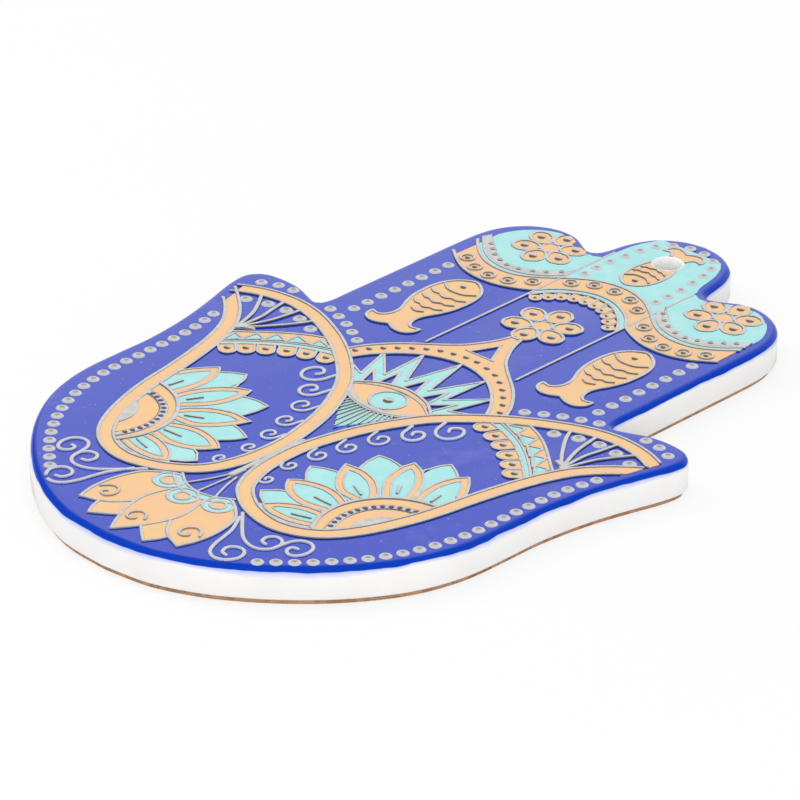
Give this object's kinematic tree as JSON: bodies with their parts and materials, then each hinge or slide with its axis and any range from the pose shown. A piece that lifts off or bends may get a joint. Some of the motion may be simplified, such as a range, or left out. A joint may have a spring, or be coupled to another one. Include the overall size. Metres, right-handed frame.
{
  "type": "hamsa hand plaque",
  "caption": "Flat glazed ceramic hand with two thumbs, a hanging hole in the middle finger, raised lustre and enamel decoration on the face, and a cork back.",
  "frame": {"origin": "middle of the plaque's bounding box at the underside of the cork", "axes": "+X to the right thumb seen from the face, +Y towards the finger tips, +Z out of the decorated face"},
  "size_m": [0.1208, 0.181, 0.0089],
  "materials": {
    "white_glaze": "gloss white glaze on fired clay",
    "cobalt_glaze": "gloss cobalt blue glaze, thinning to white over the rounded edge",
    "turquoise_enamel": "gloss opaque pale turquoise enamel",
    "gold_enamel": "gloss peach gold enamel",
    "silver_lustre": "raised beads and dots covered with silver lustre",
    "adhesive": "thin clear adhesive film",
    "cork": "pressed fine-grain cork"
  },
  "bodies": {
    "root": {"ceramic_body": "white_glaze", "cobalt_glaze": "cobalt_glaze", "adhesive_film": "adhesive", "cork_pad": "cork", "fingertip_field_middle": "turquoise_enamel", "fingertip_field_left": "turquoise_enamel", "fingertip_field_right": "turquoise_enamel", "finger_lines": "silver_lustre", "wave_band_gold": "gold_enamel", "wave_band_lines": "silver_lustre", "wave_band_rings": "silver_lustre", "wave_strip_turquoise": "turquoise_enamel", "scallop_arch_gold": "gold_enamel", "scallop_arch_lines": "silver_lustre", "rosette_left_gold": "gold_enamel", "rosette_left_lines": "silver_lustre", "rosette_right_gold": "gold_enamel", "rosette_right_lines": "silver_lustre", "rosette_centre_gold": "gold_enamel", "rosette_centre_lines": "silver_lustre", "fish_left_gold": "gold_enamel", "fish_left_lines": "silver_lustre", "fish_right_gold": "gold_enamel", "fish_right_lines": "silver_lustre", "fish_middle_gold": "gold_enamel", "fish_middle_lines": "silver_lustre", "arch_gold": "gold_enamel", "arch_lines": "silver_lustre", "ray_crown_turquoise": "turquoise_enamel", "ray_crown_lines": "silver_lustre", "eye_gold": "gold_enamel", "eye_iris": "turquoise_enamel", "eye_lines": "silver_lustre", "eye_pupil": "silver_lustre", "lash_turquoise": "turquoise_enamel", "lash_lines": "silver_lustre", "loop_left_gold": "gold_enamel", "loop_left_lines": "silver_lustre", "loop_right_gold": "gold_enamel", "loop_right_lines": "silver_lustre", "thumb_left_gold": "gold_enamel", "thumb_left_turquoise": "turquoise_enamel", "thumb_left_lines": "silver_lustre", "thumb_right_gold": "gold_enamel", "thumb_right_turquoise": "turquoise_enamel", "thumb_right_lines": "silver_lustre", "lotus_left_gold": "gold_enamel", "lotus_left_turquoise": "turquoise_enamel", "lotus_left_lines": "silver_lustre", "lotus_right_gold": "gold_enamel", "lotus_right_turquoise": "turquoise_enamel", "lotus_right_lines": "silver_lustre", "palmette_gold": "gold_enamel", "palmette_turquoise": "turquoise_enamel", "palmette_lines": "silver_lustre", "scrolls_left": "silver_lustre", "scrolls_right": "silver_lustre", "border_dots": "silver_lustre", "finger_dots": "silver_lustre"}
  },
  "joints": []
}
